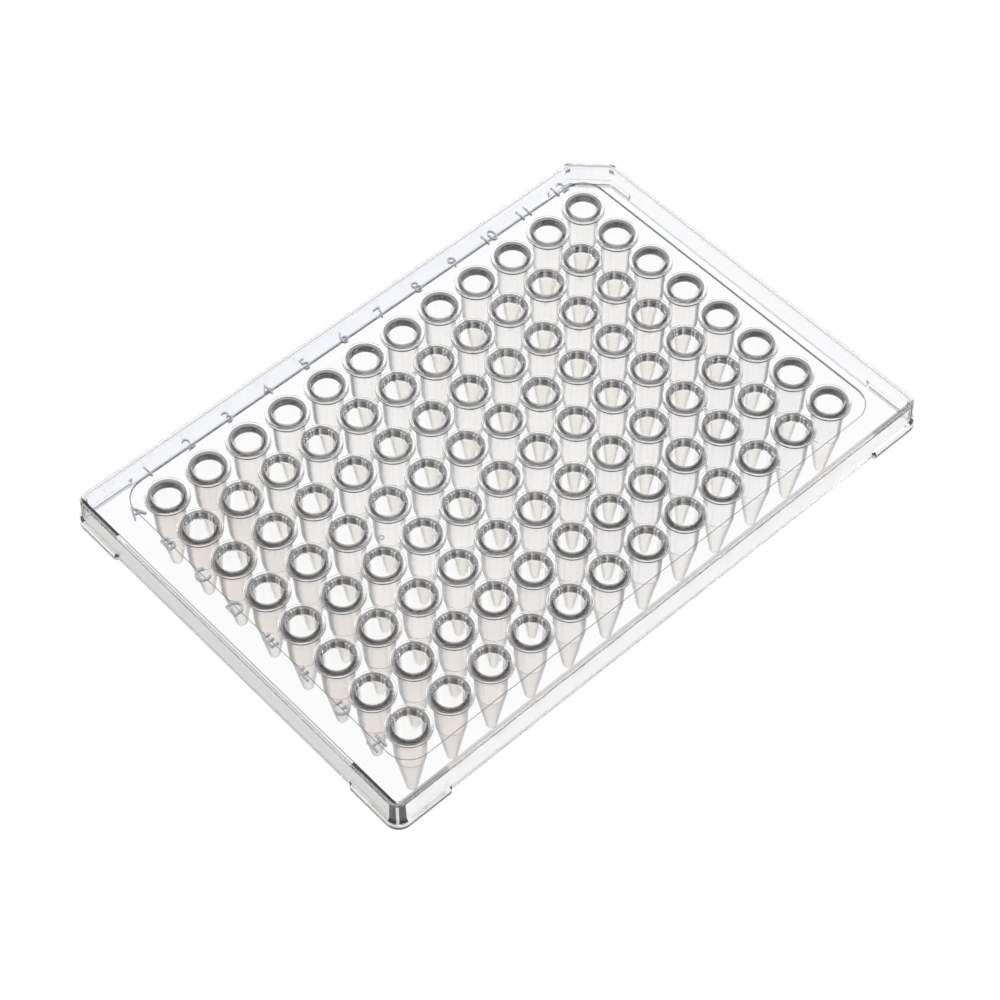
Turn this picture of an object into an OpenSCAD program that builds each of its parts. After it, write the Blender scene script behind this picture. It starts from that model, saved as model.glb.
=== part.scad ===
// Well plate: one clear moulding, a flat deck with a grid of conical tubes hanging from it.
// X runs along the numbered columns, Y points from the last lettered row to row A, Z is up.
// The origin is at the middle of the grid, on the plane that the tube tips stand on.

/* [Grid] */
// Number of tubes along X
columns = 12; // [2:1:12]
// Number of tubes along Y
rows = 8; // [2:1:8]
// Distance between neighbouring tube axes
pitch = 9; // [8.8:0.1:12]

/* [Tube] */
// Height from the tip of a tube to its rim
tube_h = 20.4; // [17:0.1:26]
// Bore of the straight mouth
mouth_d = 5.44; // [5:0.02:5.8]
// Depth of the straight mouth below the rim
mouth_h = 1.6; // [1:0.1:2.4]
// Rounding of the mouth's upper edge
mouth_edge_r = 0.15; // [0.05:0.05:0.3]
// Thickness of the tube's wall
tube_wall = 0.27; // [0.2:0.01:0.4]
// Outer diameter where the steep upper wall meets the cone
shoulder_d = 5.56; // [5:0.02:5.7]
// Depth of that shoulder below the rim
shoulder_depth = 9.4; // [7:0.1:11]
// Outer diameter of the rounded tip
tip_d = 2.1; // [1.6:0.05:2.6]
// Radius of the fillet between the tube and the underside of the deck
root_r = 0.45; // [0.1:0.05:0.6]

/* [Rim] */
// Outer diameter of the raised rim around each mouth
rim_d = 8.1; // [7.4:0.05:8.6]
// Height of the rim above the field that it stands on
rim_h = 0.8; // [0.5:0.05:1.2]
// Rounding of the rim's upper outer edge
rim_edge_r = 0.25; // [0.05:0.05:0.4]

/* [Deck] */
// Distance from the outer tube axes to the deck's edge, along X
end_margin = 11.95; // [10.5:0.05:16]
// Distance from the outer tube axes to the deck's edge, along Y
side_margin = 10.55; // [9.5:0.05:14]
// Distance from the outer tube axes to the step around the field
field_margin = 5.85; // [5:0.05:7]
// Radius of the field's corners
field_corner_r = 4.6; // [2:0.1:5]
// Height of the step from the field up to the border
field_step = 0.4; // [0.1:0.05:0.6]
// Thickness of the deck inside the step
field_t = 0.8; // [0.6:0.05:1.2]
// Rounding of the deck's upper edge
deck_edge_r = 0.3; // [0.1:0.05:0.5]
// Length of each leg of the cut corner beside the last column and row A
key_leg = 6.2; // [3:0.1:8]

/* [Skirt] */
// Height of the skirt from its lower edge to the deck's upper face
skirt_h = 6.3; // [5:0.1:9]
// Thickness of the skirt's wall
skirt_wall = 0.95; // [0.7:0.05:1.4]
// How far the skirt's lower edge stands out from the deck's edge
skirt_flare = 0.15; // [0:0.05:0.4]
// Radius of the skirt's vertical corners
corner_r = 2; // [1.6:0.1:4]

/* [Feet] */
// Length of a foot along each side, from the foot's own corner
foot_len = 12.1; // [8:0.1:20]
// How far the foot stands out from the skirt's lower edge
foot_lip = 0.55; // [0.3:0.05:1.2]
// Height of the foot
foot_h = 1.8; // [1.2:0.1:3]
// Height of the slope on top of the foot
foot_slope_h = 0.8; // [0.3:0.1:1]
// Radius of the foot's rounded ends, in plan
foot_end_r = 0.6; // [0.2:0.1:1.5]

/* [Hidden] */
$fn = 96;
over = 1; // how far a cutting shape runs past the face that it cuts

grid_x = (columns - 1) * pitch;
grid_y = (rows - 1) * pitch;

mouth_r = mouth_d / 2;
stem_r = mouth_r + tube_wall;
shoulder_r = shoulder_d / 2;
tip_r = tip_d / 2;
rim_r = rim_d / 2;

rim_z = tube_h;
mouth_z = rim_z - mouth_h;
shoulder_z = rim_z - shoulder_depth;
field_z = rim_z - rim_h;
border_z = field_z + field_step;
under_z = field_z - field_t;
skirt_z = border_z - skirt_h;
foot_z = skirt_z + foot_h;

foot_x = grid_x / 2 + end_margin + skirt_flare + foot_lip;
foot_y = grid_y / 2 + side_margin + skirt_flare + foot_lip;

// Centres of the plate's rounded corners, counter-clockwise, with two at the cut corner
core_x = grid_x / 2 + end_margin - corner_r;
core_y = grid_y / 2 + side_margin - corner_r;
core_leg = key_leg - corner_r * (2 - sqrt(2));
core = [
    [-core_x, -core_y],
    [core_x, -core_y],
    [core_x, core_y - core_leg],
    [core_x - core_leg, core_y],
    [-core_x, core_y],
];

// Angle between a cone's side and the tube's axis, for a round tip of radius r and a shoulder of radius s
function cone_angle(r, s) =
    atan2(s, shoulder_z - tip_r) - asin(r / norm([s, shoulder_z - tip_r]));

// Point of the section where that cone leaves its round tip
function cone_foot(r, s) =
    [r * cos(cone_angle(r, s)), tip_r - r * sin(cone_angle(r, s))];

// Sweeps a section around the plate: X in the section is the distance out from the core
module around_the_core() {
    for (i = [0 : len(core) - 1]) {
        here = core[i];
        run = core[(i + 1) % len(core)] - here;
        before = here - core[(i + len(core) - 1) % len(core)];
        from = atan2(before.y, before.x) - 90;
        to = atan2(run.y, run.x) - 90;
        turn = (to - from + 360) % 360;
        translate(here) rotate(from) rotate_extrude(angle = turn) children();
        translate(here) rotate([90, 0, to]) mirror([0, 0, 1]) linear_extrude(norm(run)) children();
    }
}

module rounded_rectangle(size, r) {
    square([size.x - 2 * r, size.y], center = true);
    square([size.x, size.y - 2 * r], center = true);
    for (x = [-1, 1], y = [-1, 1])
        translate([x * (size.x / 2 - r), y * (size.y / 2 - r)]) circle(r);
}

// Rectangle from the origin whose outer upper corner is rounded
module eased_rectangle(size, r) {
    square([size.x, size.y - r]);
    square([size.x - r, size.y]);
    translate([size.x - r, size.y - r]) circle(r);
}

// Section of the deck's edge and the skirt below it
module skirt_section() {
    translate([0, under_z]) eased_rectangle([corner_r, border_z - under_z], deck_edge_r);
    polygon([
        [corner_r - skirt_wall, under_z],
        [corner_r - skirt_wall + skirt_flare, skirt_z],
        [corner_r + skirt_flare, skirt_z],
        [corner_r, under_z],
    ]);
}

// Section of the ledge that stands out at the foot of the skirt's corners
module foot_section() {
    inside = corner_r - skirt_wall / 2;
    outside = corner_r + skirt_flare + foot_lip;
    polygon([
        [inside, skirt_z],
        [outside, skirt_z],
        [outside, foot_z - foot_slope_h],
        [corner_r, foot_z],
        [inside, foot_z],
    ]);
}

module feet() {
    intersection() {
        around_the_core() foot_section();
        translate([0, 0, skirt_z - over]) linear_extrude(foot_h + 2 * over)
            for (x = [-1, 1], y = [-1, 1])
                translate([x * (foot_x - foot_len / 2), y * (foot_y - foot_len / 2)])
                    rounded_rectangle([foot_len, foot_len], foot_end_r);
    }
}

module field_plan() {
    rounded_rectangle([grid_x + 2 * field_margin, grid_y + 2 * field_margin], field_corner_r);
}

// The deck with its skirt and feet, before the tubes
module tray() {
    difference() {
        union() {
            translate([0, 0, under_z]) linear_extrude(border_z - under_z) polygon(core);
            around_the_core() skirt_section();
        }
        translate([0, 0, field_z]) linear_extrude(field_step + over) field_plan();
    }
    feet();
}

// Lower right quarter of a tube's round tip, in section
module tip_section(r) {
    intersection() {
        translate([0, tip_r]) circle(r);
        translate([0, tip_r - r]) square(r);
    }
}

// Outer section of one tube, from its round tip up through the deck to its rim
module tube_section() {
    deck_z = under_z + field_t / 2; // inside the deck, where the fillet and the rim overlap
    tip_section(tip_r);
    polygon([
        [0, tip_r],
        cone_foot(tip_r, shoulder_r),
        [shoulder_r, shoulder_z],
        [stem_r, under_z - root_r],
        [stem_r, field_z],
        [0, field_z],
    ]);
    difference() {
        translate([mouth_r, under_z - root_r]) square([tube_wall + root_r, deck_z - under_z + root_r]);
        translate([stem_r + root_r, under_z - root_r]) circle(root_r);
    }
    translate([0, deck_z]) eased_rectangle([rim_r, rim_z - deck_z], rim_edge_r);
}

// Inner section of one tube, run out through the open mouth
module well_section() {
    inner_tip_r = tip_r - tube_wall;
    inner_shoulder_r = shoulder_r - tube_wall;
    tip_section(inner_tip_r);
    polygon([
        [0, tip_r],
        cone_foot(inner_tip_r, inner_shoulder_r),
        [inner_shoulder_r, shoulder_z],
        [mouth_r, mouth_z],
        [mouth_r, rim_z + over],
        [0, rim_z + over],
    ]);
    difference() {
        translate([mouth_r - over, rim_z - mouth_edge_r]) square([over + mouth_edge_r, mouth_edge_r + over]);
        translate([mouth_r + mouth_edge_r, rim_z - mouth_edge_r]) circle(mouth_edge_r);
    }
}

module at_each_tube() {
    for (column = [0 : columns - 1], row = [0 : rows - 1])
        translate([column * pitch - grid_x / 2, row * pitch - grid_y / 2]) children();
}

module plate() {
    color([0.93, 0.94, 0.96, 0.5])
        difference() {
            union() {
                tray();
                at_each_tube() rotate_extrude() tube_section();
            }
            at_each_tube() rotate_extrude() well_section();
        }
}

plate();
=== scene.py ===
"""Finishes a well plate: its clear plastic, its moulded numbers and letters, and a studio around it."""

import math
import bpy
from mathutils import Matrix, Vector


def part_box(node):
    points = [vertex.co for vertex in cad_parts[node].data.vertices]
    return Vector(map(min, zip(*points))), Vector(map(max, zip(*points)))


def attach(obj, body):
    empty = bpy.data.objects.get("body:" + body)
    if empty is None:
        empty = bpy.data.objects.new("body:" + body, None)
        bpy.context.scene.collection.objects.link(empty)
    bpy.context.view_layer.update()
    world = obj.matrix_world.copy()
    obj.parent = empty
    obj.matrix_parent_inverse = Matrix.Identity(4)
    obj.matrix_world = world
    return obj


bl_info = {
    "name": "Well Plate Finish",
    "version": (1, 0, 0),
    "blender": (4, 5, 0),
    "location": "View3D > Sidebar > Well Plate",
    "description": "Clear plastic, moulded numbers and letters, and a plain studio for a well plate",
    "category": "Object",
}

from types import SimpleNamespace

import bpy
from bpy.props import FloatProperty, FloatVectorProperty, IntProperty, PointerProperty
from mathutils import Quaternion, Vector

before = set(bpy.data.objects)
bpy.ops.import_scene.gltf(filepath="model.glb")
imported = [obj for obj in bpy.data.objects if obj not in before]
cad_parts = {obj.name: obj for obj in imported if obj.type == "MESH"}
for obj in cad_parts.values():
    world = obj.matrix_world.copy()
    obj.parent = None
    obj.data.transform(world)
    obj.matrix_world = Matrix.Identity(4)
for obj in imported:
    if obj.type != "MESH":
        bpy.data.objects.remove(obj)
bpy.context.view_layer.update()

MM = 0.001
COLUMNS = 12
ROWS = 8
PITCH = 9 * MM

# Levels of the plate, from the frame's own top down
PLATE_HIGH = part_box("plate")[1]
RIM_Z = PLATE_HIGH.z
BORDER_Z = RIM_Z - 0.4 * MM
FIELD_Z = RIM_Z - 0.8 * MM
UNDERSIDE_Z = RIM_Z - 1.6 * MM
DECK_ONLY_Z = UNDERSIDE_Z + 0.04 * MM
MOUTH_Z = RIM_Z - 1.6 * MM
SHOULDER_Z = RIM_Z - 9.4 * MM
SKIRT_Z = BORDER_Z - 6.3 * MM

# The deck's outline: half of its length and width inside the feet's lip, its corners and the cut corner
LIP = 0.7 * MM
EDGE_X = PLATE_HIGH.x - LIP
EDGE_Y = PLATE_HIGH.y - LIP
CORNER_R = 2 * MM
KEY_LEG = 6.2 * MM
CUT_DIAGONAL = EDGE_X + EDGE_Y - KEY_LEG
CUT_ENDS = (KEY_LEG - 0.9 * MM, KEY_LEG + 0.9 * MM)

# The skirt's thickness, the line that it shows in the deck, which is painted shade, and how far in the
# painted shade of its faces reaches
SKIRT_WALL = 0.95 * MM
LINE_INSET = SKIRT_WALL - 0.16 * MM
WALL_REACH = 1.0 * MM

# The feet's length along each side, where they begin, and the painted dark lines at those ends
FOOT_LEN = 12.1 * MM
FOOT_X = EDGE_X + LIP - FOOT_LEN
FOOT_Y = EDGE_Y + LIP - FOOT_LEN
HEEL_X = (FOOT_X - 0.15 * MM, FOOT_X + 0.45 * MM)
HEEL_Y = (FOOT_Y - 0.15 * MM, FOOT_Y + 0.45 * MM)

# Levels of the painted shade lines along the skirt's lower edge and the feet, and how much taller a
# near sole's is
SOLE_Z = SKIRT_Z + 0.15 * MM
NEAR_SOLE = 0.4 * MM
HEM_Z = SKIRT_Z + 0.2 * MM
HEM_LINE = (SKIRT_Z + 0.85 * MM, SKIRT_Z + 1.1 * MM)
HEEL_LINE = (SKIRT_Z + 0.7 * MM, SKIRT_Z + 1.5 * MM)
ABOVE_FEET_Z = SKIRT_Z + 1.2 * MM

# The step around the field, as distances from the middle of the grid, and how far in its painted shade
# reaches
FIELD_X = (COLUMNS - 1) * PITCH / 2 + 5.85 * MM
FIELD_Y = (ROWS - 1) * PITCH / 2 + 5.85 * MM
FIELD_CORNER_R = 4.6 * MM
STEP_REACH = (-0.16 * MM, 0.05 * MM)
FAR_STEP_REACH = (-0.10 * MM, 0.05 * MM)

# The rims' outer radius, the limit of a mouth's inner wall, and the levels of the rims' painted dark
# sides
RIM_R = 4.05 * MM
THROAT_R = 2.9 * MM
RIM_SIDE = (FIELD_Z + 0.04 * MM, FIELD_Z + 0.40 * MM)

# How far inside the field's step the last row and column begin
LAST_WELLS = 10.35 * MM

# Where the tubes' painted shade begins and is full: by X minus Y, and by distance from the near steps
LEFT_SIDES = (15 * MM, -40 * MM)
RIGHT_SIDES = (0 * MM, 35 * MM)
RIGHT_TINT = (-15 * MM, 45 * MM)
OUTER_WELLS = (28 * MM, 10 * MM)

# The step's painted shade is darker between the numbers: their place in a column's cell, and half of
# their width
NUMBER_OFFSET = 0.5 * MM
NUMBER_HALF_WIDTH = 1.6 * MM

# Directions around a tube, to the plate's corners beside column 1: at row H, on the camera's side, and
# at row A. The painted shade of tubes, rings and mouths differs on the half turned to the first
NEAR_DEGREES = -132.4
LEFT_DEGREES = 137.4

# Where a tube's left and right sides get painted shade, as cosines of the turn from its left side
LEFT_TURN = (0.42, 0.78)
RIGHT_TURN = (-0.60, -0.80)

# Where its sides and edges get painted shade, as shares of the turn away from the eye
SIDE_FACING = (0.30, 0.41)
EDGE_FACING = (0.44, 0.66)

# Height of a capital in the marks' typeface, as a share of its size
CAPITAL_HEIGHT = 0.70

PLASTIC_IOR = 1.5
WHITE = (1.0, 1.0, 1.0)


def colour(name, description, value):
    return FloatVectorProperty(
        name=name, description=description, default=value, subtype="COLOR", size=3, min=0, max=1
    )


def length(name, description, value):
    return FloatProperty(
        name=name, description=description, default=value, subtype="DISTANCE", unit="LENGTH"
    )


def share(name, description, value):
    return FloatProperty(
        name=name, description=description, default=value, min=0, max=1, subtype="FACTOR"
    )


class PlateFinish(bpy.types.PropertyGroup):
    """Colours of the clear plastic, most of them painted shade and a few painted reflections, and its
    gloss
    """

    deck_colour: colour("Deck colour", "Tint of the deck, skirt and feet", (0.99, 0.993, 1.0))
    # Tube and cone colours: the plastic's own beige and painted shade, as they lie only on each tube's
    # nearer half
    tube_colour_and_shade: colour("Tube colour", "Tint of the thin tubes below the deck", (0.975, 0.955, 0.935))
    cone_colour_and_shade: colour("Cone colour", "Tint of the tubes' lower cones", (0.90, 0.875, 0.81))
    # Painted shade: the outer tubes darker and warmer, less so at the grid's right end
    outer_tube_shade: colour(
        "Outer tube colour", "Tint of the tubes around the grid's outside", (0.80, 0.74, 0.69)
    )
    right_tube_shade: colour(
        "Right tube colour", "The same tint at the grid's right end", (0.95, 0.93, 0.93)
    )
    # Painted shade where a tube curves out of sight
    tube_edge_shade: colour(
        "Tube edge", "Tint of a tube where it curves out of sight", (0.14, 0.13, 0.125)
    )
    # Painted shade on the darker side of each tube
    tube_side_shade: colour(
        "Tube side", "Tint of the darker side of each tube", (0.003, 0.0026, 0.0025)
    )
    # Painted shade of the ring around each mouth, lighter on the nearer half of the inner wells
    mouth_ring_shade: colour("Mouth colour", "Tint of the ring around each mouth", (0.13, 0.13, 0.135))
    near_mouth_ring_shade: colour(
        "Near mouth colour", "Tint of that ring's nearer half", (0.22, 0.22, 0.225)
    )
    # Painted shade on the outer wells' rims
    lip_shade: colour(
        "Lip colour", "Tint of the outer wells' rims outside that ring", (0.16, 0.16, 0.165)
    )
    # Painted reflections as light streaks in the ring around each mouth
    mouth_streak_highlight: colour(
        "Mouth streak", "Tint of the light streaks in that ring", (0.28, 0.28, 0.285)
    )
    # Painted shade of a mouth's inner wall, lighter on its nearer half
    throat_shade: colour(
        "Throat colour", "Tint of the mouth's inner wall between its streaks", (0.04, 0.04, 0.043)
    )
    near_throat_shade: colour(
        "Near throat colour", "Tint of the mouth's inner wall facing away", (0.75, 0.75, 0.76)
    )
    # Painted shade on the rims' sides
    rim_side_shade: colour("Rim colour", "Tint of the rims' sides", (0.015, 0.016, 0.02))
    # Painted shade along the step around the field, darker on the far steps
    step_shade: colour("Step colour", "Tint of the step around the field", (0.09, 0.085, 0.085))
    far_step_shade: colour(
        "Far step colour", "Tint of the step between the numbers", (0.04, 0.042, 0.05)
    )
    # A painted bluish reflection on the far border
    border_reflection: colour(
        "Border colour", "Tint of the border beside the column numbers", (0.93, 0.94, 1.0)
    )
    # Painted shade of the lines and bands along the deck's edge
    line_shade: colour("Line colour", "Tint of the line inside the deck's edge", (0.30, 0.29, 0.29))
    west_line_shade: colour(
        "West line colour", "Tint of that line beside column 1", (0.05, 0.058, 0.06)
    )
    front_band_shade: colour(
        "Front band colour", "Tint of the deck's edge beside row H", (0.50, 0.46, 0.445)
    )
    edge_shade: colour("Edge colour", "Tint of the deck's outer edge", (0.80, 0.785, 0.775))
    foot_band_shade: colour("Foot band colour", "Tint of the deck's edge above a foot", (0.26, 0.26, 0.25))
    # Painted shade of the darkest lines and corners
    darkest_shade: colour("Dark colour", "Tint of the darkest lines and corners", (0.003, 0.0036, 0.0036))
    # Painted shade of the skirt's faces, of the lines along its lower edge and of the feet's lower
    # edges
    wall_shade: colour("Wall colour", "Tint of the skirt beside column 1", (0.56, 0.55, 0.53))
    front_wall_shade: colour(
        "Front wall colour", "Tint of the skirt beside row H", (0.95, 0.935, 0.945)
    )
    hem_shade: colour(
        "Hem colour", "Tint of the lines along the skirt's lower edge", (0.08, 0.085, 0.095)
    )
    front_hem_shade: colour("Front hem colour", "Tint of those lines beside row H", (0.45, 0.45, 0.46))
    sole_shade: colour("Sole colour", "Tint of the feet's lower edges", (0.006, 0.0065, 0.009))
    absorption_colour: colour(
        "Absorption colour", "Light that the thick plastic lets through", (0.06, 0.06, 0.10)
    )
    absorption: FloatProperty(
        name="Absorption", description="Density of the plastic, per metre", default=14, min=0
    )
    clearness: share("Clearness", "Share of the light that isn't scattered at the surface", 0.96)
    tube_roughness: share("Tube roughness", "Roughness of the tubes below the deck", 0.08)
    mouth_roughness: share("Mouth roughness", "Roughness of the ring around each mouth", 0.25)
    wall_roughness: share("Wall roughness", "Roughness of the skirt's outer face", 0.22)
    # Scale of the painted reflection streaks around a mouth
    streaks: FloatProperty(
        name="Streaks", description="Light streaks around a mouth's inner wall", default=5, min=0
    )
    mouth_inner: length("Mouth radius", "Where the ring around each mouth begins", 2.66 * MM)
    mouth_outer: length("Ring radius", "Where the ring around each mouth ends", 3.42 * MM)


class MarkSizes(bpy.types.PropertyGroup):
    """Sizes and colour of the moulded numbers and letters"""

    number_height: length("Number height", "Height of a column's number", 2.5 * MM)
    number_gap: length("Number gap", "From the field's step to the foot of a number", -0.65 * MM)
    number_pitch: length("Number pitch", "Distance between neighbouring numbers", 8.9 * MM)
    number_shift: length(
        "Number shift", "From the grid's middle to the middle of the row of numbers", 0.4 * MM
    )
    letter_height: length("Letter height", "Height of a row's letter", 2.7 * MM)
    letter_rise: length("Letter rise", "From a row's axis up to its letter's middle", 0.9 * MM)
    letter_shift: length("Letter shift", "From the field's step out to a letter's middle", 0.2 * MM)
    number_weight: FloatProperty(
        name="Number weight", description="Added stroke, per height", default=-0.012
    )
    letter_weight: FloatProperty(
        name="Letter weight", description="Added stroke, per height", default=0.0
    )
    relief: length("Relief", "How far the marks stand above the border", 0.12 * MM)
    mark_colour: colour("Mark colour", "Tint of the moulded marks", (0.36, 0.365, 0.40))
    gate_radius: length("Gate radius", "Radius of the small round gate mark", 0.55 * MM)
    gate_place: FloatVectorProperty(
        name="Gate place", description="Middle of the gate mark",
        default=(-27.9 * MM, 0.1 * MM), size=2, subtype="XYZ", unit="LENGTH",
    )


class StageSettings(bpy.types.PropertyGroup):
    """Floor, lamps and camera"""

    floor_size: length("Floor size", "Side of the square floor", 1.6)
    floor_glow: share("Floor glow", "Share of the white floor that shadows don't reach", 0.97)
    sky_level: share("Sky level", "Brightness of the upper part of the studio", 0.62)
    softbox_power: FloatProperty(
        name="Softbox power", description="Power of each softbox in watts", default=2.2
    )
    camera_place: FloatVectorProperty(
        name="Camera place", description="Where the camera stands",
        default=(-0.198054, -0.216142, 0.401656), subtype="TRANSLATION", unit="LENGTH",
    )
    camera_aim: FloatVectorProperty(
        name="Camera aim", description="Direction in which the camera looks",
        default=(0.40089, 0.43877, -0.80422), subtype="DIRECTION",
    )
    camera_lens: FloatProperty(
        name="Lens", description="Focal length in millimetres", default=99.2, min=1
    )
    camera_roll: FloatProperty(
        name="Camera roll", description="Turn of the camera about its aim", default=-0.00297,
        subtype="ANGLE", unit="ROTATION",
    )
    bounces: IntProperty(
        name="Bounces", description="How often light is followed from wall to wall", default=28, min=1
    )


# ---- Shader helpers ----


def new_material(name):
    """Empty node material, and its node tree"""
    material = bpy.data.materials.new(name)
    material.use_nodes = True
    tree = material.node_tree
    tree.nodes.clear()
    return material, tree


def add(tree, kind, **values):
    """New node of that kind, with its attributes set"""
    node = tree.nodes.new(kind)
    for key, value in values.items():
        setattr(node, key, value)
    return node


def math_node(tree, operation, first, second=None):
    """Math node fed by sockets or plain numbers; returns its output"""
    node = add(tree, "ShaderNodeMath", operation=operation)
    for socket, source in zip(node.inputs, (first, second)):
        if source is None:
            continue
        if isinstance(source, (int, float)):
            socket.default_value = source
        else:
            tree.links.new(source, socket)
    return node.outputs[0]


def ramp(tree, source, start, end, low=0.0, high=1.0):
    """Clamped straight ramp of a value between two limits"""
    node = add(tree, "ShaderNodeMapRange", clamp=True)
    tree.links.new(source, node.inputs["Value"])
    node.inputs["From Min"].default_value = start
    node.inputs["From Max"].default_value = end
    node.inputs["To Min"].default_value = low
    node.inputs["To Max"].default_value = high
    return node.outputs["Result"]


def pulse(tree, source, start, end, soft=0.04 * MM):
    """Mask that is 1 between two limits of a value"""
    rise = ramp(tree, source, start - soft, start + soft)
    return math_node(tree, "MULTIPLY", rise, ramp(tree, source, end + soft, end - soft))


def beyond(tree, source, limit, soft=0.1 * MM):
    """Mask that is 1 where a value is above a limit"""
    return ramp(tree, source, limit - soft, limit + soft)


def below(tree, source, limit, soft=0.1 * MM):
    """Mask that is 1 where a value is under a limit"""
    return ramp(tree, source, limit + soft, limit - soft)


def both(tree, *masks):
    """Product of masks"""
    result = masks[0]
    for mask in masks[1:]:
        result = math_node(tree, "MULTIPLY", result, mask)
    return result


def either(tree, *masks):
    """Largest of masks"""
    result = masks[0]
    for mask in masks[1:]:
        result = math_node(tree, "MAXIMUM", result, mask)
    return result


def reverse(tree, mask):
    """Mask that is 1 where another is 0"""
    return math_node(tree, "SUBTRACT", 1.0, mask)


def noise(tree, place, scale, detail=2):
    """Cloudy value that changes over the surface"""
    node = add(tree, "ShaderNodeTexNoise")
    node.inputs["Scale"].default_value = scale
    node.inputs["Detail"].default_value = detail
    tree.links.new(place, node.inputs["Vector"])
    return node.outputs["Fac"]


def mix_colour(tree, mask, first, second):
    """Mix of two colours, each a socket or plain values, by a mask"""
    node = add(tree, "ShaderNodeMix", data_type="RGBA")
    tree.links.new(mask, node.inputs["Factor"])
    # A mix node has sockets of every type, and these are its colours
    first_colour, second_colour, result = node.inputs[6], node.inputs[7], node.outputs[2]
    for socket, source in ((first_colour, first), (second_colour, second)):
        if isinstance(source, bpy.types.NodeSocket):
            tree.links.new(source, socket)
        else:
            socket.default_value = (*source, 1)
    return result


def well_grid_group():
    """Node group: distance from the nearest well's axis in a square grid, and the angle around it"""
    group = bpy.data.node_groups.get("Well grid")
    if group:
        return group
    group = bpy.data.node_groups.new("Well grid", "ShaderNodeTree")
    group.interface.new_socket("Position", in_out="INPUT", socket_type="NodeSocketVector")
    group.interface.new_socket("Pitch", in_out="INPUT", socket_type="NodeSocketFloat")
    for name in ("Distance", "Angle"):
        group.interface.new_socket(name, in_out="OUTPUT", socket_type="NodeSocketFloat")
    source = add(group, "NodeGroupInput")
    out = add(group, "NodeGroupOutput")
    split = add(group, "ShaderNodeSeparateXYZ")
    group.links.new(source.outputs["Position"], split.inputs[0])
    offsets = []
    for axis in ("X", "Y"):
        cells = math_node(group, "DIVIDE", split.outputs[axis], source.outputs["Pitch"])
        within = math_node(group, "SUBTRACT", math_node(group, "FRACT", cells), 0.5)
        offsets.append(math_node(group, "MULTIPLY", within, source.outputs["Pitch"]))
    squares = [math_node(group, "MULTIPLY", value, value) for value in offsets]
    total = math_node(group, "ADD", *squares)
    group.links.new(math_node(group, "SQRT", total), out.inputs["Distance"])
    group.links.new(math_node(group, "ARCTAN2", offsets[1], offsets[0]), out.inputs["Angle"])
    return group


def rounded_outline_group():
    """Node group: distance in from a rounded rectangle, negative outside, and masks of its corners"""
    group = bpy.data.node_groups.get("Rounded outline")
    if group:
        return group
    group = bpy.data.node_groups.new("Rounded outline", "ShaderNodeTree")
    group.interface.new_socket("Position", in_out="INPUT", socket_type="NodeSocketVector")
    for name in ("Half X", "Half Y", "Radius"):
        group.interface.new_socket(name, in_out="INPUT", socket_type="NodeSocketFloat")
    for name in ("Inset", "Corner", "Corner middle"):
        group.interface.new_socket(name, in_out="OUTPUT", socket_type="NodeSocketFloat")
    source = add(group, "NodeGroupInput")
    out = add(group, "NodeGroupOutput")
    split = add(group, "ShaderNodeSeparateXYZ")
    group.links.new(source.outputs["Position"], split.inputs[0])
    past = []
    for axis in ("X", "Y"):
        away = math_node(group, "ABSOLUTE", split.outputs[axis])
        core = math_node(group, "SUBTRACT", source.outputs[f"Half {axis}"], source.outputs["Radius"])
        past.append(math_node(group, "MAXIMUM", math_node(group, "SUBTRACT", away, core), 0.0))
    squares = [math_node(group, "MULTIPLY", value, value) for value in past]
    reach = math_node(group, "SQRT", math_node(group, "ADD", *squares))
    group.links.new(math_node(group, "SUBTRACT", source.outputs["Radius"], reach), out.inputs["Inset"])
    smaller = math_node(group, "MINIMUM", *past)
    group.links.new(ramp(group, smaller, 0.02 * MM, 0.12 * MM), out.inputs["Corner"])
    between = math_node(group, "ABSOLUTE", math_node(group, "SUBTRACT", *past))
    group.links.new(ramp(group, between, 0.40 * MM, 0.28 * MM), out.inputs["Corner middle"])
    return group


def rounded_outline(tree, place, half_x, half_y, radius):
    """Node of that group for one rectangle"""
    outline = add(tree, "ShaderNodeGroup", node_tree=rounded_outline_group())
    tree.links.new(place, outline.inputs["Position"])
    for name, value in (("Half X", half_x), ("Half Y", half_y), ("Radius", radius)):
        outline.inputs[name].default_value = value
    return outline


def soft_shadow_output(tree, surface, tint):
    """Output whose shadow rays pass through the plastic with a plain tint"""
    links = tree.links
    clear = add(tree, "ShaderNodeBsdfTransparent")
    clear.inputs["Color"].default_value = (*tint, 1)
    path = add(tree, "ShaderNodeLightPath")
    mix = add(tree, "ShaderNodeMixShader")
    out = add(tree, "ShaderNodeOutputMaterial")
    links.new(path.outputs["Is Shadow Ray"], mix.inputs["Fac"])
    links.new(surface, mix.inputs[1])
    links.new(clear.outputs["BSDF"], mix.inputs[2])
    links.new(mix.outputs["Shader"], out.inputs["Surface"])
    return out


def facing_side(tree, angle, degrees):
    """Cosine of the angle between a place around a tube and a compass direction"""
    return math_node(tree, "COSINE", math_node(tree, "SUBTRACT", angle, math.radians(degrees)))


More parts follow.
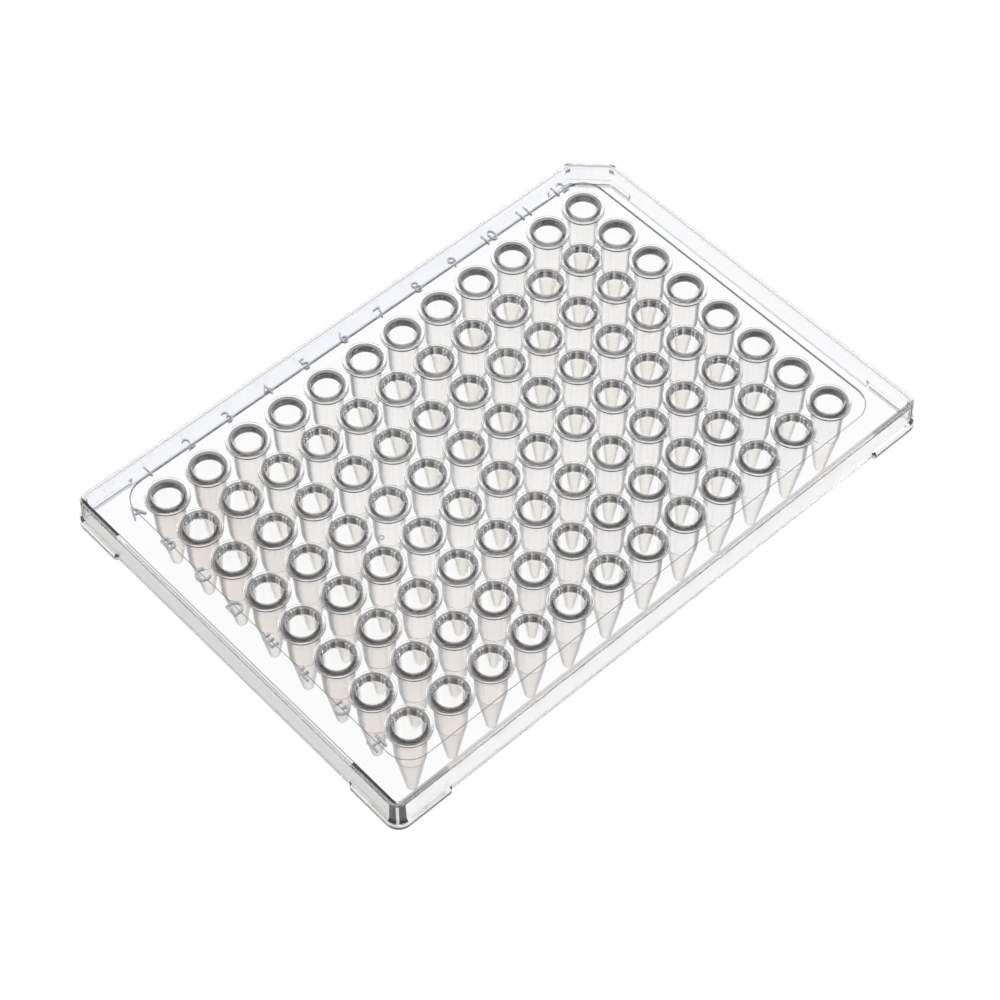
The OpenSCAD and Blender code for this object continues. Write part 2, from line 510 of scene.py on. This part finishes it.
def plate_places(tree):
    """Sockets that say where a point of the plate lies, in the plate's own coordinates"""
    place = add(tree, "ShaderNodeTexCoord").outputs["Object"]
    split = add(tree, "ShaderNodeSeparateXYZ")
    tree.links.new(place, split.inputs[0])
    east, north, height = split.outputs
    away_x = math_node(tree, "ABSOLUTE", east)
    away_y = math_node(tree, "ABSOLUTE", north)
    diagonal = math_node(tree, "ADD", east, north)
    wells = add(tree, "ShaderNodeGroup", node_tree=well_grid_group())
    wells.inputs["Pitch"].default_value = PITCH
    tree.links.new(place, wells.inputs["Position"])
    angle = wells.outputs["Angle"]
    deck = rounded_outline(tree, place, EDGE_X, EDGE_Y, CORNER_R)
    field = rounded_outline(tree, place, FIELD_X, FIELD_Y, FIELD_CORNER_R)
    from_cut = math_node(tree, "SUBTRACT", CUT_DIAGONAL, diagonal)
    from_cut = math_node(tree, "DIVIDE", from_cut, math.sqrt(2))
    west_side = below(tree, east, SKIRT_WALL - EDGE_X, 0.05 * MM)
    south_side = below(tree, north, SKIRT_WALL - EDGE_Y, 0.05 * MM)
    from_west_step = math_node(tree, "ADD", east, FIELD_X)
    from_south_step = math_node(tree, "ADD", north, FIELD_Y)
    from_near_steps = math_node(tree, "MINIMUM", from_west_step, from_south_step)
    return SimpleNamespace(
        place=place,
        east=east,
        north=north,
        height=height,
        away_x=away_x,
        away_y=away_y,
        diagonal=diagonal,
        radius=wells.outputs["Distance"],
        near_face=facing_side(tree, angle, NEAR_DEGREES),
        left_face=facing_side(tree, angle, LEFT_DEGREES),
        angle=angle,
        inset=math_node(tree, "MINIMUM", deck.outputs["Inset"], from_cut),
        corner=deck.outputs["Corner"],
        corner_middle=deck.outputs["Corner middle"],
        field_inset=field.outputs["Inset"],
        field_corner=field.outputs["Corner"],
        inside_field=beyond(tree, field.outputs["Inset"], 0.3 * MM),
        deck=beyond(tree, height, DECK_ONLY_Z, 0.02 * MM),
        west_side=west_side,
        south_side=south_side,
        near_side=either(tree, west_side, south_side),
        foot=both(tree, beyond(tree, away_x, FOOT_X), beyond(tree, away_y, FOOT_Y)),
        outer_wells=ramp(tree, from_near_steps, *OUTER_WELLS),
    )


def step_painted_light(tree, at, finish):
    """Masks of the border's painted reflection, and the painted shade of the step around the field and
    the rims' sides
    """
    # Painted shade along the step around the field
    field_step = both(
        tree,
        beyond(tree, at.height, FIELD_Z + 0.03 * MM, 0.02 * MM),
        pulse(tree, at.field_inset, *STEP_REACH, soft=0.03 * MM),
    )
    # Painted shade on the rims' sides
    rim_side = both(
        tree,
        at.inside_field,
        pulse(tree, at.height, *RIM_SIDE, soft=0.03 * MM),
        beyond(tree, at.radius, RIM_R - 0.12 * MM, 0.03 * MM),
        below(tree, at.radius, RIM_R + 0.15 * MM, 0.05 * MM),
    )
    cell = math_node(tree, "SUBTRACT", at.east, NUMBER_OFFSET)
    cell = math_node(tree, "FRACT", math_node(tree, "DIVIDE", cell, PITCH))
    from_number = math_node(tree, "ABSOLUTE", math_node(tree, "SUBTRACT", cell, 0.5))
    north_step = both(
        tree,
        beyond(tree, at.north, FIELD_Y - 0.3 * MM),
        beyond(tree, from_number, NUMBER_HALF_WIDTH / PITCH, 0.01),
    )
    east_step = both(tree, beyond(tree, at.east, FIELD_X - 0.3 * MM), reverse(tree, at.field_corner))
    north_west_arc = both(tree, at.field_corner, beyond(tree, at.north, 0), below(tree, at.east, 0))
    # Darker painted shade on the far steps, between the numbers and along the right side
    far_step = both(
        tree,
        field_step,
        either(tree, north_step, east_step, north_west_arc),
        pulse(tree, at.field_inset, *FAR_STEP_REACH),
    )
    # A painted bluish reflection on the far border
    far_border = both(
        tree,
        at.deck,
        beyond(tree, at.north, FIELD_Y + 0.2 * MM, 0.05 * MM),
        beyond(tree, at.inset, SKIRT_WALL, 0.05 * MM),
    )
    return (
        (far_border, finish.border_reflection),
        (field_step, finish.step_shade),
        (far_step, finish.far_step_shade),
        (rim_side, finish.rim_side_shade),
    )


def band_painted_shade(tree, at, band, finish):
    """Masks and painted shade of the lines in the band of the deck above the skirt"""
    # Painted shade: lines along the deck's edge, a band beside row H, bands and dark lines above the
    # feet
    inner_line = both(tree, at.deck, pulse(tree, at.inset, LINE_INSET, SKIRT_WALL))
    outside_line = below(tree, at.inset, LINE_INSET)
    outer_line = both(tree, at.deck, at.near_side, below(tree, at.inset, 0.34 * MM, 0.05 * MM))
    foot_band = both(tree, band, at.near_side, at.foot)
    foot_line = both(tree, foot_band, at.west_side, beyond(tree, at.inset, 0.38 * MM, 0.08 * MM))
    return (
        (inner_line, finish.line_shade),
        (both(tree, inner_line, at.west_side), finish.west_line_shade),
        (both(tree, band, at.south_side, outside_line), finish.front_band_shade),
        (outer_line, finish.edge_shade),
        (foot_band, finish.foot_band_shade),
        (foot_line, finish.darkest_shade),
    )


def skirt_painted_shade(tree, at, wall, finish):
    """Masks and painted shade of the skirt's faces, its corners, its lower lines and the feet"""
    above_foot = beyond(tree, at.height, ABOVE_FEET_Z)
    # Painted shade on the skirt's walls beside row H and column 1
    south_wall = both(tree, wall, below(tree, at.north, WALL_REACH - EDGE_Y, 0.2 * MM), above_foot)
    west_wall = both(tree, wall, below(tree, at.east, WALL_REACH - EDGE_X, 0.2 * MM), above_foot)
    # Painted dark shade in the skirt's rounded corners
    arc = both(tree, wall, above_foot, at.corner, reverse(tree, at.corner_middle))

    # Painted dark shade at the ends of the cut corner
    along_cut = math_node(tree, "ABSOLUTE", math_node(tree, "SUBTRACT", at.east, at.north))
    along_cut = math_node(tree, "ABSOLUTE", math_node(tree, "SUBTRACT", along_cut, EDGE_X - EDGE_Y))
    cut_ends = both(
        tree,
        beyond(tree, at.height, UNDERSIDE_Z - 1.5 * MM),
        below(tree, at.inset, 0.5 * MM),
        beyond(tree, at.diagonal, CUT_DIAGONAL - 1.2 * MM),
        pulse(tree, along_cut, *CUT_ENDS, soft=0.1 * MM),
    )

    # Painted shade lines along the skirt's lower edge
    hem = either(tree, below(tree, at.height, HEM_Z, 0.04 * MM), pulse(tree, at.height, *HEM_LINE))
    hem = both(tree, hem, reverse(tree, at.foot), below(tree, at.inset, -0.08 * MM, 0.03 * MM))

    long_side = either(tree, at.south_side, beyond(tree, at.north, EDGE_Y - SKIRT_WALL))
    short_side = either(tree, at.west_side, beyond(tree, at.east, EDGE_X - SKIRT_WALL))
    # Painted dark lines at the ends of the feet
    long_heel = both(tree, pulse(tree, at.away_x, *HEEL_X), long_side)
    short_heel = both(tree, pulse(tree, at.away_y, *HEEL_Y), short_side)
    heel = both(
        tree,
        either(tree, long_heel, short_heel),
        below(tree, at.inset, -0.04 * MM, 0.03 * MM),
        pulse(tree, at.height, *HEEL_LINE),
    )

    # Painted dark shade on the feet's lower edges
    sole_top = math_node(tree, "MULTIPLY", at.near_side, NEAR_SOLE)
    sole_top = math_node(tree, "ADD", SOLE_Z, sole_top)
    sole = both(
        tree,
        math_node(tree, "LESS_THAN", at.height, sole_top),
        below(tree, at.inset, -0.58 * MM, 0.04 * MM),
    )
    return (
        (south_wall, finish.front_wall_shade),
        (west_wall, finish.wall_shade),
        (arc, finish.darkest_shade),
        (cut_ends, finish.darkest_shade),
        (both(tree, hem, at.south_side), finish.front_hem_shade),
        (both(tree, hem, at.west_side), finish.hem_shade),
        (heel, finish.darkest_shade),
        (sole, finish.sole_shade),
    )


def tube_tint_and_painted_shade(tree, at, finish):
    """Tint of the tubes below the deck, partly the plastic's own and partly painted shade: paler cones,
    warmer outer tubes, painted dark sides and edges
    """
    edge = add(tree, "ShaderNodeLayerWeight")
    edge.inputs["Blend"].default_value = 0.35
    facing_away = edge.outputs["Facing"]
    across = math_node(tree, "SUBTRACT", at.east, at.north)
    left = both(tree, ramp(tree, at.left_face, *LEFT_TURN), ramp(tree, across, *LEFT_SIDES))
    right = both(tree, ramp(tree, at.left_face, *RIGHT_TURN), ramp(tree, across, *RIGHT_SIDES))
    # Painted shade on the left or right side of each tube, on its nearer half
    painted_dark_side = both(
        tree,
        either(tree, left, right),
        ramp(tree, at.near_face, -0.2, 0.0),
        ramp(tree, facing_away, *SIDE_FACING),
        ramp(tree, at.height, SHOULDER_Z - 2.5 * MM, SHOULDER_Z - 0.5 * MM, low=0.3),
    )
    cones = ramp(tree, at.height, SHOULDER_Z, SHOULDER_Z - 3 * MM)
    inner_tint = mix_colour(tree, cones, finish.tube_colour_and_shade, finish.cone_colour_and_shade)
    # Painted shade: the tubes around the grid's outside are darker and warmer, less so at the right end
    to_right = ramp(tree, across, *RIGHT_TINT)
    outer_tube_shading = mix_colour(tree, to_right, finish.outer_tube_shade, finish.right_tube_shade)
    outer_share = both(tree, at.outer_wells, reverse(tree, math_node(tree, "MULTIPLY", cones, 0.7)))
    tint = mix_colour(tree, outer_share, inner_tint, outer_tube_shading)
    # The tubes' beige lies only on the nearer half, turned to the camera, and the far half stays white:
    # the plastic's own tint and painted shade
    tint = mix_colour(tree, ramp(tree, at.near_face, -0.1, 0.4), WHITE, tint)
    # Painted shade along each tube's outline, where it turns away from the eye
    tint = mix_colour(tree, ramp(tree, facing_away, *EDGE_FACING), tint, finish.tube_edge_shade)
    return mix_colour(tree, painted_dark_side, tint, finish.tube_side_shade)


def painted_mouth_streaks(tree, at, finish):
    """Painted reflections: light streaks around the mouths, without those of row A and the last column
    """
    streaks = add(tree, "ShaderNodeTexNoise", noise_dimensions="1D")
    streaks.inputs["Scale"].default_value = finish.streaks
    tree.links.new(at.angle, streaks.inputs["W"])
    last_row = beyond(tree, at.north, FIELD_Y - LAST_WELLS, 0.05 * MM)
    last_column = beyond(tree, at.east, FIELD_X - LAST_WELLS, 0.05 * MM)
    other_wells = reverse(tree, either(tree, last_row, last_column))
    return both(tree, ramp(tree, streaks.outputs["Fac"], 0.50, 0.62), other_wells)


def mouth_painted_light(tree, at, ring, finish):
    """Masks and painted shade of the rim, the ring around each mouth and the mouth's inner wall, with
    painted light streaks
    """
    near_half = ramp(tree, at.near_face, -0.1, 0.3)
    streaks = painted_mouth_streaks(tree, at, finish)
    # Painted shade on the outer wells' rims, on their nearer half
    lip = both(
        tree,
        pulse(tree, at.radius, finish.mouth_outer, RIM_R - 0.17 * MM),
        beyond(tree, at.height, RIM_Z - 0.35 * MM, 0.05 * MM),
        near_half,
        at.outer_wells,
    )
    # Painted shade of the ring around each mouth: painted light streaks on its far half, and lighter on
    # the near half of the inner wells
    far_ring = mix_colour(tree, streaks, finish.mouth_ring_shade, finish.mouth_streak_highlight)
    near_ring = mix_colour(tree, at.outer_wells, finish.near_mouth_ring_shade, finish.mouth_ring_shade)
    # Painted shade of a mouth's inner wall, with painted highlights as white streaks on its far half,
    # and lighter on its near half
    throat = both(
        tree,
        below(tree, at.radius, THROAT_R, 0.05 * MM),
        beyond(tree, at.height, MOUTH_Z + 0.05 * MM, 0.05 * MM),
        at.inside_field,
    )
    far_throat = mix_colour(tree, streaks, finish.throat_shade, WHITE)
    return (
        (lip, finish.lip_shade),
        (ring, mix_colour(tree, near_half, far_ring, near_ring)),
        (throat, mix_colour(tree, near_half, far_throat, finish.near_throat_shade)),
    )


def plastic_roughness(tree, at, tubes, ring, skirt, finish):
    """Cloudy roughness of the tubes and the rings around the mouths, and the skirt's even one"""
    cloud = noise(tree, at.place, scale=260, detail=3)
    rough = math_node(
        tree, "ADD",
        math_node(tree, "MULTIPLY", tubes, finish.tube_roughness),
        math_node(tree, "MULTIPLY", ring, finish.mouth_roughness),
    )
    rough = math_node(tree, "MULTIPLY", rough, ramp(tree, cloud, 0.3, 0.7, low=0.7, high=1.3))
    return math_node(tree, "ADD", rough, math_node(tree, "MULTIPLY", skirt, finish.wall_roughness))


def clear_plastic(finish):
    """The plate's plastic: a clear deck and skirt, with painted shade on its edges, tubes and rings at
    the mouths, and a few painted reflections
    """
    material, tree = new_material("clear_plastic")
    links = tree.links
    at = plate_places(tree)
    tubes = both(
        tree,
        below(tree, at.height, UNDERSIDE_Z - 0.2 * MM, 0.3 * MM),
        below(tree, at.radius, RIM_R + 0.25 * MM),
        at.inside_field,
    )
    ring = both(
        tree,
        beyond(tree, at.radius, finish.mouth_inner - 0.02 * MM, 0.02 * MM),
        below(tree, at.radius, finish.mouth_outer + 0.03 * MM, 0.03 * MM),
        beyond(tree, at.height, RIM_Z - 0.25 * MM, 0.05 * MM),
    )
    wall = both(
        tree,
        below(tree, at.height, UNDERSIDE_Z + 0.85 * MM, 0.05 * MM),
        below(tree, at.inset, 0.12 * MM, 0.05 * MM),
    )
    band = both(tree, at.deck, below(tree, at.inset, SKIRT_WALL, 0.04 * MM))

    tint = mix_colour(tree, tubes, finish.deck_colour, tube_tint_and_painted_shade(tree, at, finish))
    # Each of these masks lays painted shade, painted light streaks or a painted reflection over the
    # deck's colour
    painted_light_marks = (
        *mouth_painted_light(tree, at, ring, finish),
        *step_painted_light(tree, at, finish),
        *band_painted_shade(tree, at, band, finish),
        *skirt_painted_shade(tree, at, wall, finish),
    )
    for mask, value in painted_light_marks:
        tint = mix_colour(tree, mask, tint, value)

    smoother_band = math_node(tree, "MULTIPLY", band, 0.4)
    skirt = either(tree, both(tree, wall, at.near_side), smoother_band)
    surface = add(tree, "ShaderNodeBsdfPrincipled")
    surface.inputs["Transmission Weight"].default_value = finish.clearness
    surface.inputs["IOR"].default_value = PLASTIC_IOR
    links.new(tint, surface.inputs["Base Color"])
    links.new(plastic_roughness(tree, at, tubes, ring, skirt, finish), surface.inputs["Roughness"])
    out = soft_shadow_output(tree, surface.outputs["BSDF"], tint=(0.96, 0.96, 0.965))
    absorb = add(tree, "ShaderNodeVolumeAbsorption")
    absorb.inputs["Color"].default_value = (*finish.absorption_colour, 1)
    absorb.inputs["Density"].default_value = finish.absorption
    links.new(absorb.outputs["Volume"], out.inputs["Volume"])
    return material


def moulded_mark(marks):
    """Greyer plastic of the raised numbers and letters"""
    material, tree = new_material("moulded_mark")
    links = tree.links
    place = add(tree, "ShaderNodeTexCoord").outputs["Object"]
    grain = noise(tree, place, scale=900)
    patchy = ramp(tree, grain, 0.35, 0.65)
    paler = tuple(min(1.0, part * 1.35) for part in marks.mark_colour)
    surface = add(tree, "ShaderNodeBsdfPrincipled")
    links.new(mix_colour(tree, patchy, marks.mark_colour, paler), surface.inputs["Base Color"])
    links.new(ramp(tree, grain, 0.3, 0.7, low=0.15, high=0.35), surface.inputs["Roughness"])
    surface.inputs["Transmission Weight"].default_value = 0.35
    surface.inputs["IOR"].default_value = PLASTIC_IOR
    soft_shadow_output(tree, surface.outputs["BSDF"], tint=(0.9, 0.9, 0.92))
    return material


def seen_by_eye_and_glass(tree):
    """Mask that is 1 for camera, glossy and transmission rays"""
    path = add(tree, "ShaderNodeLightPath")
    mask = math_node(tree, "MAXIMUM", path.outputs["Is Camera Ray"], path.outputs["Is Glossy Ray"])
    return math_node(tree, "MAXIMUM", mask, path.outputs["Is Transmission Ray"])


def white_floor(stage):
    """White floor that still darkens a little in the plate's shadow"""
    material, tree = new_material("white_floor")
    links = tree.links
    place = add(tree, "ShaderNodeTexCoord").outputs["Object"]
    grain = noise(tree, place, scale=40)
    paper = mix_colour(tree, grain, (0.80, 0.80, 0.80), (0.83, 0.83, 0.83))
    plain = add(tree, "ShaderNodeBsdfDiffuse")
    links.new(paper, plain.inputs["Color"])
    glow = add(tree, "ShaderNodeEmission")
    glow.inputs["Strength"].default_value = stage.floor_glow
    # A little more than the glow leaves, so that the open floor stays white
    lit_share = 1.25 * (1 - stage.floor_glow)
    lit = add(tree, "ShaderNodeBsdfDiffuse")
    lit.inputs["Color"].default_value = (lit_share, lit_share, lit_share, 1)
    white = add(tree, "ShaderNodeAddShader")
    links.new(glow.outputs["Emission"], white.inputs[0])
    links.new(lit.outputs["BSDF"], white.inputs[1])
    mix = add(tree, "ShaderNodeMixShader")
    links.new(seen_by_eye_and_glass(tree), mix.inputs["Fac"])
    links.new(plain.outputs["BSDF"], mix.inputs[1])
    links.new(white.outputs["Shader"], mix.inputs[2])
    out = add(tree, "ShaderNodeOutputMaterial")
    links.new(mix.outputs["Shader"], out.inputs["Surface"])
    return material


# ---- Pieces ----


def raised_text(name, text, middle, height, depth, weight, material):
    """Raised moulded text, upright along +Y, centred on a place and standing to its level"""
    curve = bpy.data.curves.new(name, "FONT")
    curve.body = text
    curve.align_x = "CENTER"
    curve.align_y = "CENTER"
    curve.size = height / CAPITAL_HEIGHT
    curve.extrude = depth / 2
    curve.offset = weight * curve.size
    curve.resolution_u = 6
    curve.materials.append(material)
    piece = bpy.data.objects.new(name, curve)
    piece.location = (middle[0], middle[1], middle[2] - depth / 2)
    bpy.context.scene.collection.objects.link(piece)
    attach(piece, "root")
    return piece


def ring_mesh(inner, outer, low, high, sides=48):
    """Closed flat ring about the Z axis"""
    places = []
    faces = []
    for side in range(sides):
        turn = 2 * math.pi * side / sides
        for radius, level in ((inner, low), (outer, low), (outer, high), (inner, high)):
            places.append((radius * math.cos(turn), radius * math.sin(turn), level))
        here = 4 * side
        there = 4 * ((side + 1) % sides)
        for corner in range(4):
            after = (corner + 1) % 4
            faces.append((here + corner, here + after, there + after, there + corner))
    mesh = bpy.data.meshes.new("ring")
    mesh.from_pydata(places, [], faces)
    mesh.update()
    return mesh


def named_material(name, build):
    """The material of that name, built when it is first needed"""
    return bpy.data.materials.get(name) or build()


class WELLPLATE_OT_plate(bpy.types.Operator):
    """Give the plate its clear plastic"""

    bl_idname = "wellplate.plate"
    bl_label = "Clear Plastic"

    def execute(self, context):
        finish = context.scene.well_plate_finish
        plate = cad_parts["plate"]
        plate.data.materials.clear()
        plate.data.materials.append(clear_plastic(finish))
        return {"FINISHED"}


class WELLPLATE_OT_numbers(bpy.types.Operator):
    """Raise the column numbers along the edge beside row A"""

    bl_idname = "wellplate.numbers"
    bl_label = "Column Numbers"

    def execute(self, context):
        marks = context.scene.well_plate_marks
        material = named_material("moulded_mark", lambda: moulded_mark(marks))
        middle_y = FIELD_Y + marks.number_gap + marks.number_height / 2
        top = BORDER_Z + marks.relief
        for column in range(COLUMNS):
            x = (column - (COLUMNS - 1) / 2) * marks.number_pitch + marks.number_shift
            raised_text(
                f"number_{column + 1:02d}", str(column + 1), (x, middle_y, top),
                marks.number_height, top - FIELD_Z + 0.1 * MM, marks.number_weight, material,
            )
        return {"FINISHED"}


class WELLPLATE_OT_letters(bpy.types.Operator):
    """Raise the row letters along the edge beside column 1"""

    bl_idname = "wellplate.letters"
    bl_label = "Row Letters"

    def execute(self, context):
        marks = context.scene.well_plate_marks
        material = named_material("moulded_mark", lambda: moulded_mark(marks))
        top = BORDER_Z + marks.relief
        for row in range(ROWS):
            y = ((ROWS - 1) / 2 - row) * PITCH + marks.letter_rise
            raised_text(
                f"letter_{chr(65 + row)}", chr(65 + row), (-FIELD_X - marks.letter_shift, y, top),
                marks.letter_height, top - FIELD_Z + 0.1 * MM, marks.letter_weight, material,
            )
        return {"FINISHED"}


class WELLPLATE_OT_gate_mark(bpy.types.Operator):
    """Leave the small round gate mark in the field"""

    bl_idname = "wellplate.gate_mark"
    bl_label = "Gate Mark"

    def execute(self, context):
        marks = context.scene.well_plate_marks
        material = named_material("moulded_mark", lambda: moulded_mark(marks))
        piece = bpy.data.objects.new("gate_mark", ring_mesh(
            marks.gate_radius * 0.5, marks.gate_radius, FIELD_Z - 0.05 * MM, FIELD_Z + 0.06 * MM,
        ))
        piece.data.materials.append(material)
        piece.location = (*marks.gate_place, 0)
        bpy.context.scene.collection.objects.link(piece)
        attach(piece, "root")
        return {"FINISHED"}


class WELLPLATE_OT_stage(bpy.types.Operator):
    """Set up the floor, the studio light and the camera"""

    bl_idname = "wellplate.stage"
    bl_label = "Studio"

    def execute(self, context):
        stage = context.scene.well_plate_stage
        self.lay_floor(stage)
        self.light_studio(context.scene, stage)
        self.hang_softboxes(stage)
        self.place_camera(context.scene, stage)
        self.trace_through_plastic(context.scene, stage)
        return {"FINISHED"}

    def lay_floor(self, stage):
        half = stage.floor_size / 2
        mesh = bpy.data.meshes.new("floor")
        mesh.from_pydata(
            [(-half, -half, 0), (half, -half, 0), (half, half, 0), (-half, half, 0)], [], [(0, 1, 2, 3)]
        )
        mesh.materials.append(white_floor(stage))
        floor = bpy.data.objects.new("floor", mesh)
        bpy.context.scene.collection.objects.link(floor)

    def light_studio(self, scene, stage):
        """White near and below the horizon and dark above it, and plain white for matt surfaces"""
        world = bpy.data.worlds.new("studio")
        world.use_nodes = True
        tree = world.node_tree
        tree.nodes.clear()
        links = tree.links
        direction = add(tree, "ShaderNodeTexCoord").outputs["Generated"]
        split = add(tree, "ShaderNodeSeparateXYZ")
        links.new(direction, split.inputs[0])
        upper = ramp(tree, split.outputs["Z"], 0.0, 0.06, 1.0, stage.sky_level)
        path = add(tree, "ShaderNodeLightPath")
        to_camera, to_matt = path.outputs["Is Camera Ray"], path.outputs["Is Diffuse Ray"]
        plain = math_node(tree, "MAXIMUM", to_camera, to_matt)
        studio = add(tree, "ShaderNodeBackground")
        links.new(upper, studio.inputs["Strength"])
        white = add(tree, "ShaderNodeBackground")
        white.inputs["Color"].default_value = (1, 1, 1, 1)
        studio.inputs["Color"].default_value = (1, 1, 1, 1)
        mix = add(tree, "ShaderNodeMixShader")
        out = add(tree, "ShaderNodeOutputWorld")
        links.new(plain, mix.inputs["Fac"])
        links.new(studio.outputs["Background"], mix.inputs[1])
        links.new(white.outputs["Background"], mix.inputs[2])
        links.new(mix.outputs["Shader"], out.inputs["Surface"])
        scene.world = world

    def hang_softboxes(self, stage):
        for name, place, size in (
            ("softbox_right", (0.55, -0.25, 0.55), 0.35),
            ("softbox_back", (-0.15, 0.65, 0.45), 0.30),
        ):
            light = bpy.data.lights.new(name, "AREA")
            light.energy = stage.softbox_power
            light.size = size
            lamp = bpy.data.objects.new(name, light)
            lamp.location = place
            lamp.rotation_euler = (-Vector(place)).to_track_quat("-Z", "Y").to_euler()
            bpy.context.scene.collection.objects.link(lamp)

    def place_camera(self, scene, stage):
        data = bpy.data.cameras.new("camera")
        data.lens = stage.camera_lens
        data.sensor_width = 36
        data.clip_start = 0.01
        camera = bpy.data.objects.new("camera", data)
        camera.location = stage.camera_place
        level = Vector(stage.camera_aim).to_track_quat("-Z", "Y")
        camera.rotation_euler = (level @ Quaternion((0, 0, 1), stage.camera_roll)).to_euler()
        scene.collection.objects.link(camera)
        scene.camera = camera

    def trace_through_plastic(self, scene, stage):
        """Many walls lie behind each other, so light is followed for many bounces"""
        scene.view_settings.view_transform = "Standard"
        scene.cycles.max_bounces = stage.bounces
        scene.cycles.transmission_bounces = stage.bounces
        scene.cycles.glossy_bounces = stage.bounces
        scene.cycles.transparent_max_bounces = stage.bounces


class WELLPLATE_PT_panel(bpy.types.Panel):
    """Lists the plate's pieces and settings"""

    bl_idname = "WELLPLATE_PT_panel"
    bl_label = "Well Plate"
    bl_space_type = "VIEW_3D"
    bl_region_type = "UI"
    bl_category = "Well Plate"

    def draw(self, context):
        for operator in OPERATORS:
            self.layout.operator(operator.bl_idname)
        for name in SETTINGS:
            group = getattr(context.scene, name)
            box = self.layout.box()
            for key in group.__annotations__:
                box.prop(group, key)


OPERATORS = (
    WELLPLATE_OT_plate,
    WELLPLATE_OT_numbers,
    WELLPLATE_OT_letters,
    WELLPLATE_OT_gate_mark,
    WELLPLATE_OT_stage,
)
SETTINGS = {
    "well_plate_finish": PlateFinish,
    "well_plate_marks": MarkSizes,
    "well_plate_stage": StageSettings,
}
CLASSES = (*SETTINGS.values(), *OPERATORS, WELLPLATE_PT_panel)


def register():
    for item in CLASSES:
        bpy.utils.register_class(item)
    for name, group in SETTINGS.items():
        setattr(bpy.types.Scene, name, PointerProperty(type=group))


def unregister():
    for name in SETTINGS:
        delattr(bpy.types.Scene, name)
    for item in reversed(CLASSES):
        bpy.utils.unregister_class(item)


def main():
    register()
    bpy.ops.wellplate.plate()
    bpy.ops.wellplate.numbers()
    bpy.ops.wellplate.letters()
    bpy.ops.wellplate.gate_mark()
    bpy.ops.wellplate.stage()


if __name__ == "__main__":
    main()
